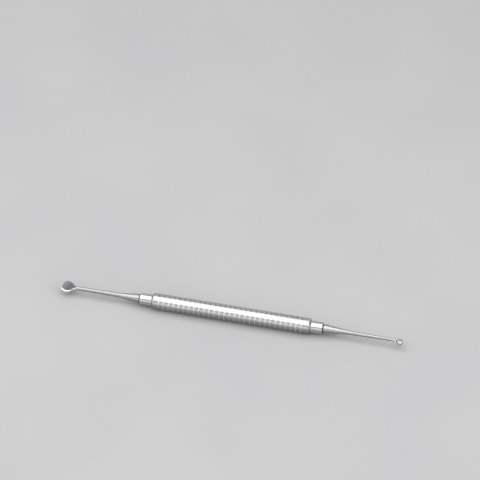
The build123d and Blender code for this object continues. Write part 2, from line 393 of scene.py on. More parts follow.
@dataclass(frozen=True)
class TurnedSteel(Finish):
    """Polished stainless steel with fine turned rings along the axis and on the end faces."""

    bright: Colour = rgb(0.46, 0.46, 0.462)
    dull: Colour = rgb(0.40, 0.396, 0.396)
    roughness: float = 0.13
    line_depth: float = 0.7 * MICRON

    def paint(self, p: Pattern) -> Looks:
        """Adds the finish's own nodes."""
        tree = p.tree
        lines = p.line_noise(p.along + p.radius * 0.31, 21000.0, detail=3.0)
        bands = p.line_noise(p.along + p.radius * 0.5, 1500.0, detail=2.0)
        handled = p.noise(260.0, detail=3.0, roughness=0.5)
        hairlines = p.noise(3200.0, detail=1.0, roughness=0.6, stretch=(0.12, 3.0, 3.0))
        marks = tree.ramp(hairlines, 0.62, 0.76)
        tone = tree.ramp(bands * 0.6 + handled * 0.4, 0.35, 0.7)
        colour = tree.blend(tone, self.bright, self.dull)
        rough = self.roughness + (handled - 0.5) * 0.12 + (lines - 0.5) * 0.07 + marks * 0.05
        normal = p.bump(lines, depth=self.line_depth, strength=0.5)
        normal = p.bump(marks, depth=0.5 * MICRON, strength=0.4, under=normal)
        return colour, rough, normal


@dataclass(frozen=True)
class DrawnSteel(Finish):
    """Polished shank steel with faint grinding marks along its length."""

    bright: Colour = rgb(0.345, 0.352, 0.358)
    dull: Colour = rgb(0.285, 0.288, 0.292)
    roughness: float = 0.22

    def paint(self, p: Pattern) -> Looks:
        """Adds the finish's own nodes."""
        tree = p.tree
        grind = p.noise(5200.0, detail=3.0, roughness=0.65, stretch=(0.10, 1.0, 1.0))
        cross = p.line_noise(p.along, 4200.0, detail=2.0)
        handled = p.noise(380.0, detail=3.0, roughness=0.5)
        pits = tree.ramp(p.cells(2600.0), 0.05, 0.12, falling=True)
        patch = tree.ramp(handled, 0.52, 0.66)
        tone = tree.ramp(grind * 0.5 + handled * 0.35 + cross * 0.15, 0.38, 0.66)
        colour = tree.blend(tone, self.bright, self.dull)
        rough = self.roughness + (handled - 0.5) * 0.14 + (grind - 0.5) * 0.12 + patch * 0.04
        normal = p.bump(grind, depth=1.1 * MICRON, strength=0.5)
        normal = p.bump(pits, depth=-0.8 * MICRON, strength=0.5, under=normal)
        return colour, rough, normal


@dataclass(frozen=True)
class CupSteel(Finish):
    """Spun cup steel with a painted highlight at the near left of the rim and painted shade behind it and
    along the neck.
    """

    centre: Vector
    radius: float
    # Painted highlight: bright is the lit colour at the near left; dull is the painted shade elsewhere.
    bright: Colour = rgb(0.93, 0.93, 0.93)
    dull: Colour = rgb(0.33, 0.332, 0.335)
    painted_highlight_side: Point = (-0.6, -0.8)
    roughness: float = 0.17

    def paint(self, p: Pattern) -> Looks:
        """Adds the finish's own nodes."""
        tree = p.tree
        past = (p.along - self.centre.x) / self.radius
        aside = p.side / self.radius
        # Painted highlight towards the near left, painted shade behind it.
        towards_painted_highlight = past * self.painted_highlight_side[0] + aside * self.painted_highlight_side[1]
        spinning = p.line_noise(tree.math("SQRT", past * past + aside * aside), 60.0, detail=2.0)
        handled = p.noise(700.0, detail=3.0, roughness=0.5)
        tone = towards_painted_highlight * 0.5 + 0.5 + (handled - 0.5) * 0.2
        on_cup = tree.math("LESS_THAN", past, 1.0)
        colour = tree.blend(tree.ramp(tone * on_cup, 0.40, 0.85), self.dull, self.bright)
        rough = self.roughness + (handled - 0.5) * 0.14 + (spinning - 0.5) * 0.08
        normal = p.bump(spinning, depth=1.0 * MICRON, strength=0.5)
        return colour, rough, normal


@dataclass(frozen=True)
class MirrorFace(Finish):
    """Front-surface coating: almost clean, with a painted reflection that is lighter at the left and darker
    at the right, a faint wiped haze and a few specks.
    """

    centre: Vector
    radius: float
    # Painted reflection: clean is the lighter end and shaded the darker end of a fall across the face.
    clean: Colour = rgb(0.86, 0.865, 0.875)
    shaded: Colour = rgb(0.50, 0.505, 0.515)
    hazed: Colour = rgb(0.66, 0.665, 0.67)

    def paint(self, p: Pattern) -> Looks:
        """Adds the finish's own nodes."""
        tree = p.tree
        wipe = p.noise(900.0, detail=3.0, roughness=0.6, stretch=(0.35, 1.6, 1.0))
        haze = tree.ramp(wipe, 0.42, 0.72)
        specks = tree.ramp(p.cells(1300.0), 0.03, 0.07, falling=True)
        # Painted reflection: lighter towards the left and back of the face, darker towards the right and
        # front.
        across = (p.along - self.centre.x) / self.radius - p.side / self.radius * 0.35
        fall = tree.ramp(across * 0.5 + 0.5 + (wipe - 0.5) * 0.5, 0.05, 0.85)
        base = tree.blend(fall, self.clean, self.shaded)
        colour = tree.blend(haze * 0.35 + specks * 0.4, base, self.hazed)
        rough = 0.035 + haze * 0.05 + specks * 0.2
        normal = p.bump(specks, depth=0.6 * MICRON, strength=0.4)
        return colour, rough, normal


class SealRubber(Finish):
    """Dark heat-proof seal with a fine moulded skin."""

    fixed = {"Specular IOR Level": 0.4}

    def paint(self, p: Pattern) -> Looks:
        """Adds the finish's own nodes."""
        tree = p.tree
        skin = p.noise(14000.0, detail=3.0, roughness=0.6)
        bloom = tree.ramp(p.noise(1400.0, detail=2.0), 0.4, 0.7)
        colour = tree.blend(bloom, rgb(0.018, 0.018, 0.02), rgb(0.05, 0.05, 0.052))
        normal = p.bump(skin, depth=3.0 * MICRON, strength=0.6)
        return colour, 0.55 + (skin - 0.5) * 0.2 + bloom * 0.1, normal


class BrazeFiller(Finish):
    """Pale silver braze with the ripple of flowed metal."""

    def paint(self, p: Pattern) -> Looks:
        """Adds the finish's own nodes."""
        tree = p.tree
        flow = p.noise(2400.0, detail=2.0, roughness=0.5, stretch=(1.6, 1.0, 1.0))
        tint = tree.ramp(p.noise(1100.0, detail=2.0), 0.4, 0.65)
        colour = tree.blend(tint, rgb(0.40, 0.385, 0.35), rgb(0.33, 0.31, 0.275))
        normal = p.bump(flow, depth=6.0 * MICRON, strength=0.6)
        return colour, 0.30 + (flow - 0.5) * 0.2 + tint * 0.06, normal


class BondingCement(Finish):
    """Dark grey cement with fine filler grains."""

    fixed = {}

    def paint(self, p: Pattern) -> Looks:
        """Adds the finish's own nodes."""
        tree = p.tree
        grains = tree.ramp(p.cells(16000.0), 0.1, 0.45, falling=True)
        colour = tree.blend(grains, rgb(0.06, 0.06, 0.065), rgb(0.13, 0.13, 0.135))
        normal = p.bump(grains, depth=4.0 * MICRON, strength=0.5)
        return colour, 0.7 + grains * 0.15, normal


@dataclass(frozen=True)
class ClearGlass(Finish):
    """The glass disc, with a ground edge that is frosted."""

    fixed = {"Transmission Weight": 1.0, "IOR": 1.52}
    centre: Vector
    edge_radius: float
    ground_depth: float = 0.03 * MM

    def paint(self, p: Pattern) -> Looks:
        """Adds the finish's own nodes."""
        tree = p.tree
        dx = p.along - self.centre.x
        out = tree.math("SQRT", dx * dx + p.side * p.side)
        edge = tree.math("GREATER_THAN", out, self.edge_radius - self.ground_depth)
        grind = p.noise(12000.0, detail=2.0, roughness=0.6)
        colour = tree.blend(edge, rgb(0.86, 0.93, 0.91), rgb(0.70, 0.76, 0.74))
        normal = p.bump(grind * edge, depth=5.0 * MICRON, strength=0.5)
        return colour, 0.02 + edge * 0.35 + edge * grind * 0.2, normal


@dataclass(frozen=True)
class PaleFloor(Finish):
    """Matt pale table top with faint mottling."""

    fixed = {"Specular IOR Level": 0.25}
    pale: Colour = rgb(0.31, 0.31, 0.31)
    worn: Colour = rgb(0.30, 0.30, 0.305)

    def paint(self, p: Pattern) -> Looks:
        """Adds the finish's own nodes."""
        mottle = p.tree.ramp(p.noise(14.0, detail=3.0), 0.35, 0.65)
        colour = p.tree.blend(mottle, self.pale, self.worn)
        return colour, 0.6 + mottle * 0.08, None


# ---- Meshes ----


@dataclass(frozen=True)
class Corner:
    """One corner of a turned outline, drawn as distance along the axis and radius."""

    along: float
    radius: float
    blend: float = 0.0


def rounded(corners: Sequence[Corner], closed: bool = False, steps: int = 6) -> list[Point]:
    """Rounds an outline's corners with arcs, and adds points beside each arc to keep flats flat.

    Args:
        corners: the outline in order.
        closed: joins the last corner to the first.
        steps: straight pieces in each arc.

    Returns:
        The outline's points.
    """
    count = len(corners)
    points: list[Point] = []
    for index, corner in enumerate(corners):
        here = Vector((corner.along, corner.radius))
        if corner.blend <= 0 or (not closed and index in (0, count - 1)):
            points.append((here.x, here.y))
            continue
        before, after = corners[index - 1], corners[(index + 1) % count]
        back = Vector((before.along, before.radius)) - here
        ahead = Vector((after.along, after.radius)) - here
        room = min(back.length, ahead.length)
        back.normalize()
        ahead.normalize()
        half = back.angle(ahead) / 2
        reach = min(corner.blend / math.tan(half), room * 0.45)
        radius = reach * math.tan(half)
        centre = here + (back + ahead).normalized() * (radius / math.sin(half))
        support = min(reach * 0.35, room * 0.04)
        start, end = here + back * reach, here + ahead * reach
        points.append(tuple(here + back * (reach + support)))
        first, last = start - centre, end - centre
        turn = first.angle(last)
        for step in range(steps + 1):
            share = step / steps
            low = math.sin((1 - share) * turn) / math.sin(turn)
            high = math.sin(share * turn) / math.sin(turn)
            points.append(tuple(centre + first * low + last * high))
        points.append(tuple(here + ahead * (reach + support)))
    return points


def eased(start: Point, end: Point, start_slope: float, end_slope: float, steps: int = 14) -> list[Corner]:
    """A smooth curve between two points of an outline with given slopes.

    Args:
        start: the first point, (along, radius).
        end: the last point.
        start_slope: change of radius per unit of length at the start.
        end_slope: the same at the end.
        steps: straight pieces.

    Returns:
        The points between the two ends, as plain corners.
    """
    run = end[0] - start[0]
    found = []
    for step in range(1, steps):
        t = step / steps
        hold = 2 * t ** 3 - 3 * t ** 2 + 1
        pull = (t ** 3 - 2 * t ** 2 + t) * run * start_slope
        push = (t ** 3 - t ** 2) * run * end_slope
        found.append(Corner(start[0] + run * t, hold * start[1] + pull + (1 - hold) * end[1] + push))
    return found


def smooth_step(value: float) -> float:
    """Eases from 0 to 1."""
    value = min(max(value, 0.0), 1.0)
    return value * value * (3 - 2 * value)


def eased_past(value: float, span: Point) -> float:
    """Eases from 0 to 1 over a span, given as its start and its length."""
    start, length = span
    return smooth_step((value - start) / length)


class Skin:
    """A mesh grown ring by ring; a ring of one point is a pole."""

    def __init__(self, segments: int) -> None:
        """Starts an empty skin with so many points in each full ring."""
        self.segments = segments
        self.points: list[Spot] = []
        self.faces: list[tuple[int, ...]] = []
        self.rings: list[list[int]] = []

    def ring(self, points: Iterable[Sequence[float]]) -> None:
        """Adds a ring and joins it to the one before.

        Args:
            points: one point for a pole, or as many as the skin has segments.
        """
        start = len(self.points)
        self.points.extend(tuple(point) for point in points)
        self.rings.append(list(range(start, len(self.points))))
        if len(self.rings) > 1:
            self._join(self.rings[-2], self.rings[-1])

    def _join(self, old: list[int], new: list[int]) -> None:
        """Faces between two rings."""
        for index in range(self.segments):
            after = (index + 1) % self.segments
            places = ((old, index), (old, after), (new, after), (new, index))
            face = tuple(dict.fromkeys(ring[place % len(ring)] for ring, place in places))
            if len(face) > 2:
                self.faces.append(face)

    def close(self) -> None:
        """Joins the last ring to the first."""
        self._join(self.rings[-1], self.rings[0])

    def mesh(self, name: str) -> bpy.types.Mesh:
        """Makes the mesh, with its faces outward."""
        made = bpy.data.meshes.new(name)
        made.from_pydata(self.points, [], self.faces)
        return settle(made)


def settle(mesh: bpy.types.Mesh) -> bpy.types.Mesh:
    """Welds doubles, turns faces outward and shades smooth with sharp edges kept.

    Args:
        mesh: the mesh to change.

    Returns:
        The same mesh.
    """
    work = bmesh.new()
    work.from_mesh(mesh)
    bmesh.ops.remove_doubles(work, verts=work.verts, dist=0.5 * MICRON)
    bmesh.ops.dissolve_degenerate(work, edges=work.edges, dist=0.2 * MICRON)
    bmesh.ops.recalc_face_normals(work, faces=work.faces)
    work.to_mesh(mesh)
    work.free()
    mesh.shade_smooth()
    mesh.set_sharp_from_angle(angle=math.radians(SHARP_DEGREES))
    return mesh


def circle(along: float, radius: float, height: float, segments: int, level: bool = False) -> list[Spot]:
    """A ring about the instrument's long axis, or a pole where the radius is nothing.

    Args:
        along: the centre's place along X.
        radius: the ring's radius.
        height: the centre's height.
        segments: points in the ring.
        level: lays the ring flat, about an upright line.

    Returns:
        The points.
    """
    if radius < MICRON:
        return [(along, 0.0, height)]
    points = []
    for index in range(segments):
        angle = TURN * index / segments
        across, round_axis = radius * math.cos(angle), radius * math.sin(angle)
        points.append((along + across, round_axis, height) if level else (along, across, height + round_axis))
    return points


def turned(outline: Sequence[Point], height: float, segments: int, closed: bool = False) -> Skin:
    """Turns an outline about the long axis.

    Args:
        outline: (along, radius) points.
        height: height of the axis.
        segments: points round the axis.
        closed: joins the last ring to the first.

    Returns:
        The skin.
    """
    skin = Skin(segments)
    for along, radius in outline:
        skin.ring(circle(along, radius, height, segments))
    if closed:
        skin.close()
    return skin


def join(name: str, meshes: Sequence[bpy.types.Mesh]) -> bpy.types.Mesh:
    """Puts several meshes in one.

    Args:
        name: the new mesh's name.
        meshes: the meshes, which are removed.

    Returns:
        The joined mesh.
    """
    work = bmesh.new()
    for mesh in meshes:
        work.from_mesh(mesh)
        bpy.data.meshes.remove(mesh)
    made = bpy.data.meshes.new(name)
    work.to_mesh(made)
    work.free()
    return settle(made)


# ---- Geometry Nodes ----


class NodeRecipe:
    """A Geometry Nodes tree with a named input for each number, run to give a plain mesh."""

    name: str = "recipe"

    def __init__(self) -> None:
        """Starts with no tree; the first run adds it."""
        self.group: Optional[bpy.types.NodeTree] = None

    def _add_tree(self, values: dict[str, float]) -> None:
        """Builds the tree, with a whole-number or real input for each value."""
        self.group = bpy.data.node_groups.new(self.name, "GeometryNodeTree")
        self.tree = Tree(self.group)
        self._socket("Geometry", "INPUT", "NodeSocketGeometry")
        self._socket("Geometry", "OUTPUT", "NodeSocketGeometry")
        kinds = {int: "NodeSocketInt", float: "NodeSocketFloat"}
        self.identifiers = {
            label: self._socket(label, "INPUT", kinds[type(value)]) for label, value in values.items()
        }
        self.entry = self.tree.node("NodeGroupInput")
        self.build()

    def _socket(self, label: str, way: str, kind: str) -> str:
        """Adds a group socket and returns its identifier."""
        return self.group.interface.new_socket(name=label, in_out=way, socket_type=kind).identifier

    def given(self, label: str) -> Wire:
        """A named input."""
        return Wire(self.tree, self.entry.outputs[label])

    def grid(self, rows: Wire, columns: Wire) -> tuple[Wire, Wire, Wire]:
        """A unit grid with its row and column shares.

        Args:
            rows: points one way.
            columns: points the other way.

        Returns:
            The grid, and fields from 0 to 1 along rows and columns.
        """
        grid = self.tree.wire(
            "GeometryNodeMeshGrid", None,
            {"Size X": 1.0, "Size Y": 1.0, "Vertices X": rows, "Vertices Y": columns},
        )
        place = self.tree.wire("GeometryNodeInputPosition")
        parts = self.tree.node("ShaderNodeSeparateXYZ", None, {0: place})
        return grid, Wire(self.tree, parts.outputs[0]) + 0.5, Wire(self.tree, parts.outputs[1]) + 0.5

    def wrapped(self, geometry: Wire, along: Wire, radius: Wire, angle: Wire) -> Wire:
        """Moves points to a place given along and round the long axis.

        Args:
            geometry: the geometry to move.
            along: place along X.
            radius: distance from the axis.
            angle: turn about the axis.

        Returns:
            The moved geometry.
        """
        tree = self.tree
        side = radius * tree.math("COSINE", angle)
        up = radius * tree.math("SINE", angle) + self.given("Axis Height")
        place = tree.wire("ShaderNodeCombineXYZ", None, {0: along, 1: side, 2: up})
        return tree.wire("GeometryNodeSetPosition", None, {"Geometry": geometry, "Position": place})

    def end(self, geometry: Wire) -> None:
        """Realizes the geometry and closes the tree."""
        whole = self.tree.wire("GeometryNodeRealizeInstances", None, {"Geometry": geometry})
        self.tree.node("NodeGroupOutput", None, {"Geometry": whole})

    def build(self) -> None:
        """Adds the recipe's own nodes."""
        raise NotImplementedError

    def run(self, name: str, start: bpy.types.Mesh, values: dict[str, float]) -> bpy.types.Mesh:
        """Runs the tree on a mesh.

        Args:
            name: the new mesh's name.
            start: the geometry that goes in.
            values: the named inputs.

        Returns:
            A plain mesh.
        """
        if self.group is None:
            self._add_tree(values)
        carrier = bpy.data.objects.new(name + "_carrier", start)
        bpy.context.scene.collection.objects.link(carrier)
        modifier = carrier.modifiers.new(self.name, "NODES")
        modifier.node_group = self.group
        for label, value in values.items():
            modifier[self.identifiers[label]] = value
        graph = bpy.context.evaluated_depsgraph_get()
        made = bpy.data.meshes.new_from_object(carrier.evaluated_get(graph))
        made.name = name
        carrier.modifiers.remove(modifier)
        bpy.data.objects.remove(carrier)
        return settle(made)


class GroovedGrip(NodeRecipe):
    """Ring grooves with eased edges, repeated along the handle and joined to its plain ends."""

    name = "ring_grooved_grip"
    land_margin = 0.05
    edge_softness = 0.12

    def build(self) -> None:
        """One groove and the land after it as a ring, repeated along the axis."""
        tree = self.tree
        rows, width = self.given("Groove Rows"), self.given("Groove Width")
        reach = self.given("Edge Reach")
        # The land after a groove has a short row beside each edge and a long one between them.
        grid, share, lap = self.grid(rows + 4.0, self.given("Segments") + 1.0)
        row = share * (rows + 3.0)
        swing = (tree.math("MINIMUM", row / rows, 1.0) * 2.0 - 1.0) * (math.pi / 2)
        across = tree.math("SINE", swing) * reach
        past = tree.math("MAXIMUM", row - rows, 0.0)
        first = tree.math("MINIMUM", past, 1.0) * self.land_margin
        middle = tree.math("MINIMUM", tree.math("MAXIMUM", past - 1.0, 0.0), 1.0) * (1 - 2 * self.land_margin)
        final = tree.math("MAXIMUM", past - 2.0, 0.0) * self.land_margin
        land = self.given("Pitch") - width * reach
        along = across * width * 0.5 + (first + middle + final) * land
        bowl = tree.math("SMOOTH_MAX", 1.0 - across * across, 0.0, self.edge_softness)
        radius = self.given("Outer Radius") - self.given("Groove Depth") * bowl
        ring = self.wrapped(grid, along, radius, lap * TURN)
        start = tree.wire("ShaderNodeCombineXYZ", None, {0: self.given("First Groove") + width * 0.5})
        step = tree.wire("ShaderNodeCombineXYZ", None, {0: self.given("Pitch")})
        places = tree.wire(
            "GeometryNodeMeshLine", {"mode": "OFFSET"},
            {"Count": self.given("Grooves"), "Start Location": start, "Offset": step},
        )
        rings = tree.wire("GeometryNodeInstanceOnPoints", None, {"Points": places, "Instance": ring})
        gathered = tree.node("GeometryNodeJoinGeometry")
        tree.tree.links.new(self.given("Geometry").socket, gathered.inputs[0])
        tree.tree.links.new(rings.socket, gathered.inputs[0])
        self.end(Wire(tree, gathered.outputs[0]))


class ScrewThread(NodeRecipe):
    """A right-hand screw ridge about the long axis that fades to a point at both ends."""

    name = "screw_thread"
    fades_per_turn = 1.6
    corners = 5

    def _part(self, corner: Wire, index: int) -> Wire:
        """How far along one side of the ridge a corner count is, 0 to 1."""
        past = self.tree.math("MAXIMUM", corner - float(index), 0.0)
        return self.tree.math("MINIMUM", past, 1.0)

    def build(self) -> None:
        """A long grid wound into a helix, with the ridge's outline across it."""
        tree = self.tree
        turns, steps, pitch = self.given("Turns"), self.given("Steps"), self.given("Pitch")
        columns = tree.wire("FunctionNodeInputInt", {"integer": self.corners})
        grid, share, lap = self.grid(steps + 1.0, columns)
        corner = lap * float(self.corners - 1)
        wide, narrow = self.given("Root Width"), self.given("Crest Width")
        flank = (wide - narrow) * 0.5
        up, over, down, under = (self._part(corner, index) for index in range(self.corners - 1))
        across = flank * up + narrow * over + flank * down - wide * under - wide * 0.5
        rise = up - down
        grown = tree.math("MINIMUM", share * turns * self.fades_per_turn, 1.0)
        shrunk = tree.math("MINIMUM", (1.0 - share) * turns * self.fades_per_turn, 1.0)
        fade = grown * shrunk
        height = (self.given("Crest Radius") - self.given("Root Radius")) * rise * fade
        along = self.given("Start") + pitch * turns * share + across * fade
        self.end(self.wrapped(grid, along, self.given("Root Radius") + height, share * turns * TURN))


# ---- Sub-assemblies ----


def place_piece(
    mesh: bpy.types.Mesh, material: bpy.types.Material, body: Body, nodes: Sequence[str]
) -> None:
    """Makes an object of a mesh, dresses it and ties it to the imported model.

    Args:
        mesh: the finished mesh.
        material: its finish.
        body: the rigid body it moves with.
        nodes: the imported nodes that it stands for.
    """
    piece = bpy.data.objects.new(mesh.name, mesh)
    bpy.context.scene.collection.objects.link(piece)
    mesh.materials.clear()
    mesh.materials.append(material)
    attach(piece, body.value)
    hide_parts(*nodes)
    faces = sum(len(face.vertices) - 2 for face in mesh.polygons)
    log.info("%s rides on %s: %d triangles", piece.name, body.value, faces)


def dress_node(name: str, material: bpy.types.Material) -> None:
    """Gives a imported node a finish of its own.

    Args:
        name: the node.
        material: its finish.
    """
    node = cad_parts[name]
    node.data.materials.clear()
    node.data.materials.append(material)
    log.info("%s keeps its packed shape", name)


def outermost(node: str, side: Side) -> float:
    """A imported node's last place along X towards one end of the instrument."""
    low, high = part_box(node)
    return low.x if side is Side.MIRROR else high.x


def packed_radius(node: str) -> float:
    """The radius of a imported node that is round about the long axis."""
    low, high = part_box(node)
    return (high.z - low.z) / 2


@dataclass
class Collar:
    """A polished plug with a screw socket, pressed into one end of the handle."""

    place: Place
    node: str
    side: Side
    segments: int = 96
    edge: float = 0.18 * MM
    spigot_length: float = 7.0 * MM
    spigot_radius: float = 2.75 * MM
    spigot_bevel: float = 0.4 * MM
    socket_radius: float = 1.30 * MM
    socket_depth: float = 6.0 * MM
    socket_point: float = 0.75 * MM
    socket_mouth: float = 0.2 * MM
    seat_bevel_length: float = 0.03 * MM
    seat_bevel_depth: float = 0.05 * MM

    def seat(self) -> float:
        """Where the collar meets the end of the tube."""
        low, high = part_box(self.node)
        inner = high.x if self.side is Side.MIRROR else low.x
        return inner + self.side.value * self.spigot_length

    def build(self) -> bpy.types.Mesh:
        """Turns the collar with its socket and spigot."""
        inward = -self.side.value
        face, seat, radius = outermost(self.node, self.side), self.seat(), packed_radius(self.node)
        end = seat + inward * self.spigot_length
        depth, wall = self.socket_depth, self.socket_radius
        outline = rounded([
            Corner(face + inward * (depth + self.socket_point), 0.0),
            Corner(face + inward * depth, wall, blend=0.08 * MM),
            Corner(face + inward * self.socket_mouth, wall, blend=0.05 * MM),
            Corner(face, wall + self.socket_mouth, blend=0.03 * MM),
            Corner(face, radius - self.edge, blend=0.06 * MM),
            Corner(face + inward * self.edge, radius, blend=0.09 * MM),
            Corner(seat - inward * self.seat_bevel_length, radius, blend=0.04 * MM),
            Corner(seat, radius - self.seat_bevel_depth, blend=0.02 * MM),
            Corner(seat, self.spigot_radius, blend=0.05 * MM),
            Corner(end - inward * self.spigot_bevel, self.spigot_radius, blend=0.1 * MM),
            Corner(end, self.spigot_radius - self.spigot_bevel, blend=0.1 * MM),
            Corner(end, 0.0),
        ])
        return turned(outline, self.place.axis_height, self.segments).mesh(self.node + "_turned")


@dataclass
class Handle:
    """The hollow grip with its ring grooves, and the collars in its two ends."""

    place: Place
    segments: int = 96
    grooves: int = 29
    groove_rows: int = 14
    groove_pitch: float = 2.54 * MM
    groove_width: float = 1.0 * MM
    groove_depth: float = 0.16 * MM
    edge_reach: float = 1.08
    plain_band: float = 2.33 * MM
    bevel_length: float = 0.92 * MM
    lip_radius: float = 3.06 * MM
    bore_radius: float = 2.75 * MM

    def first_groove(self) -> float:
        """The left edge of the first groove."""
        return self.place.left + self.bevel_length + self.plain_band

    def last_groove(self) -> float:
        """The right edge of the last groove."""
        return self.first_groove() + (self.grooves - 1) * self.groove_pitch + self.groove_width

    def ends(self) -> bpy.types.Mesh:
        """The plain bands, bevels, end lips and bore, open where the grooves go."""
        place, radius = self.place, packed_radius("handle_tube")
        overlap = (self.edge_reach - 1) * self.groove_width / 2
        grip_start = self.first_groove() - overlap
        grip_end = grip_start + self.grooves * self.groove_pitch
        bevel = self.bevel_length
        outline = rounded([
            Corner(grip_end, radius),
            Corner(place.right - bevel, radius, blend=0.22 * MM),
            Corner(place.right, self.lip_radius, blend=0.07 * MM),
            Corner(place.right, self.bore_radius, blend=0.03 * MM),
            Corner(place.left, self.bore_radius, blend=0.03 * MM),
            Corner(place.left, self.lip_radius, blend=0.07 * MM),
            Corner(place.left + bevel, radius, blend=0.22 * MM),
            Corner(grip_start, radius),
        ])
        skin = turned(outline, place.axis_height, self.segments)
        made = bpy.data.meshes.new("handle_ends")
        made.from_pydata(skin.points, [], skin.faces)
        return made

    def build(self) -> bpy.types.Mesh:
        """The whole tube, grooves included."""
        return GroovedGrip().run("handle_tube_grooved", self.ends(), {
            "Grooves": self.grooves,
            "Groove Rows": self.groove_rows,
            "Segments": self.segments,
            "Pitch": self.groove_pitch,
            "Groove Width": self.groove_width,
            "Groove Depth": self.groove_depth,
            "Outer Radius": packed_radius("handle_tube"),
            "First Groove": self.first_groove(),
            "Edge Reach": self.edge_reach,
            "Axis Height": self.place.axis_height,
        })

    def dress(self, sockets: "Screws") -> None:
        """Builds and dresses the handle's pieces, with the screw threads of both sockets."""
        grip = GripSteel(
            "satin_grip_steel", self.place,
            self.first_groove(), self.last_groove(), self.groove_pitch, self.groove_width,
        )
        place_piece(self.build(), grip.build(), Body.HANDLE, ["handle_tube"])
        polish = TurnedSteel("polished_collar_steel", self.place).build()
        for node, side in (("mirror_collar", Side.MIRROR), ("spoon_collar", Side.SPOON)):
            collar = Collar(self.place, node, side)
            thread = sockets.inner(collar)
            mesh = join(node + "_turned", [collar.build(), thread])
            place_piece(mesh, polish, Body.HANDLE, [node])


@dataclass
class Screws:
    """Cuts the M2.5 x 0.45 screw threads, male on the studs and female in the sockets."""

    place: Place
    recipe: ScrewThread
    pitch: float = 0.45 * MM
    steps: int = 40
    turns: float = 9.6
    runout: float = 0.75 * MM
    male_root: float = 0.955 * MM
    male_crest: float = 1.25 * MM
    female_root: float = 1.31 * MM
    female_crest: float = 1.06 * MM
    root_width: float = 0.40 * MM
    crest_width: float = 0.07 * MM

    def shoulder(self, side: Side) -> float:
        """Where a working end's shoulder stands, from its seal ring."""
        return outermost(f"{side.name.lower()}_seal_ring", side)

    def _start(self, side: Side) -> float:
        """The low-X end of a stud's ridge."""
        near = self.shoulder(side) - side.value * (self.runout + self.root_width / 2)
        return near if side is Side.MIRROR else near - self.pitch * self.turns

    def _ridge(self, kind: str, side: Side, start: float, root: float, crest: float) -> bpy.types.Mesh:
        """One ridge about the long axis."""
        name = f"{kind}_ridge_{side.name.lower()}"
        return self.recipe.run(name, bpy.data.meshes.new(name + "_blank"), {
            "Turns": self.turns,
            "Steps": round(self.turns * self.steps),
            "Pitch": self.pitch,
            "Root Radius": root,
            "Crest Radius": crest,
            "Root Width": self.root_width,
            "Crest Width": self.crest_width,
            "Start": start,
            "Axis Height": self.place.axis_height,
        })

    def outer(self, side: Side) -> bpy.types.Mesh:
        """The ridge on a working end's stud."""
        return self._ridge("stud", side, self._start(side), self.male_root, self.male_crest)

    def inner(self, collar: Collar) -> bpy.types.Mesh:
        """The ridge in a collar's socket, half a pitch from the stud's."""
        start = self._start(collar.side) + self.pitch / 2
        return self._ridge("socket", collar.side, start, self.female_root, self.female_crest)


@dataclass
class SealRing:
    """A thin flat ring between a shoulder and its collar, with softened edges."""

    place: Place
    node: str
    hole_radius: float = 1.33 * MM
    edge: float = 0.07 * MM
    segments: int = 72

    def build(self) -> bpy.types.Mesh:
        """Turns the ring."""
        low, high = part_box(self.node)
        radius = packed_radius(self.node)
        outline = rounded([
            Corner(low.x, self.hole_radius, blend=self.edge),
            Corner(low.x, radius, blend=self.edge),
            Corner(high.x, radius, blend=self.edge),
            Corner(high.x, self.hole_radius, blend=self.edge),
        ], closed=True)
        skin = turned(outline, self.place.axis_height, self.segments, closed=True)
        return skin.mesh(self.node + "_moulded")

    def dress(self, rubber: bpy.types.Material, body: Body) -> None:
        """Builds the ring and dresses it on the body that carries it."""
        place_piece(self.build(), rubber, body, [self.node])


@dataclass
class Shank:
    """The turned part of a working end: screw stud, shoulder, straight flare and slim taper."""

    place: Place
    side: Side
    shoulder: float
    flare_length: float
    flare_end_radius: float
    taper_start: float
    taper_start_radius: float
    taper_end: float
    taper_end_radius: float
    shoulder_radius: float = 2.3 * MM
    shoulder_edge: float = 0.15 * MM
    stud_length: float = 5.35 * MM
    stud_root: float = 0.974 * MM
    stud_point: float = 0.3 * MM
    segments: int = 96

    def outline(self) -> list[Corner]:
        """The outline from the stud's point to the end of the taper."""
        out, shoulder = float(self.side.value), self.shoulder
        tip = shoulder - out * self.stud_length
        flare_end = shoulder + out * self.flare_length
        straight = self.flare_length - self.shoulder_edge
        flare_slope = (self.flare_end_radius - self.shoulder_radius) / straight
        taper_length = abs(self.taper_end - self.taper_start)
        taper_slope = (self.taper_end_radius - self.taper_start_radius) / taper_length
        before = [
            Corner(tip, 0.0),
            Corner(tip, self.stud_root - self.stud_point, blend=0.04 * MM),
            Corner(tip + out * self.stud_point, self.stud_root, blend=0.08 * MM),
            Corner(shoulder, self.stud_root, blend=0.1 * MM),
            Corner(shoulder, self.shoulder_radius - self.shoulder_edge, blend=0.05 * MM),
            Corner(shoulder + out * self.shoulder_edge, self.shoulder_radius, blend=0.08 * MM),
            Corner(flare_end, self.flare_end_radius),
        ]
        curve = eased(
            (flare_end, self.flare_end_radius),
            (self.taper_start, self.taper_start_radius),
            flare_slope * out,
            taper_slope * out,
        )
        return before + curve + [
            Corner(self.taper_start, self.taper_start_radius),
            Corner(self.taper_end, self.taper_end_radius),
        ]


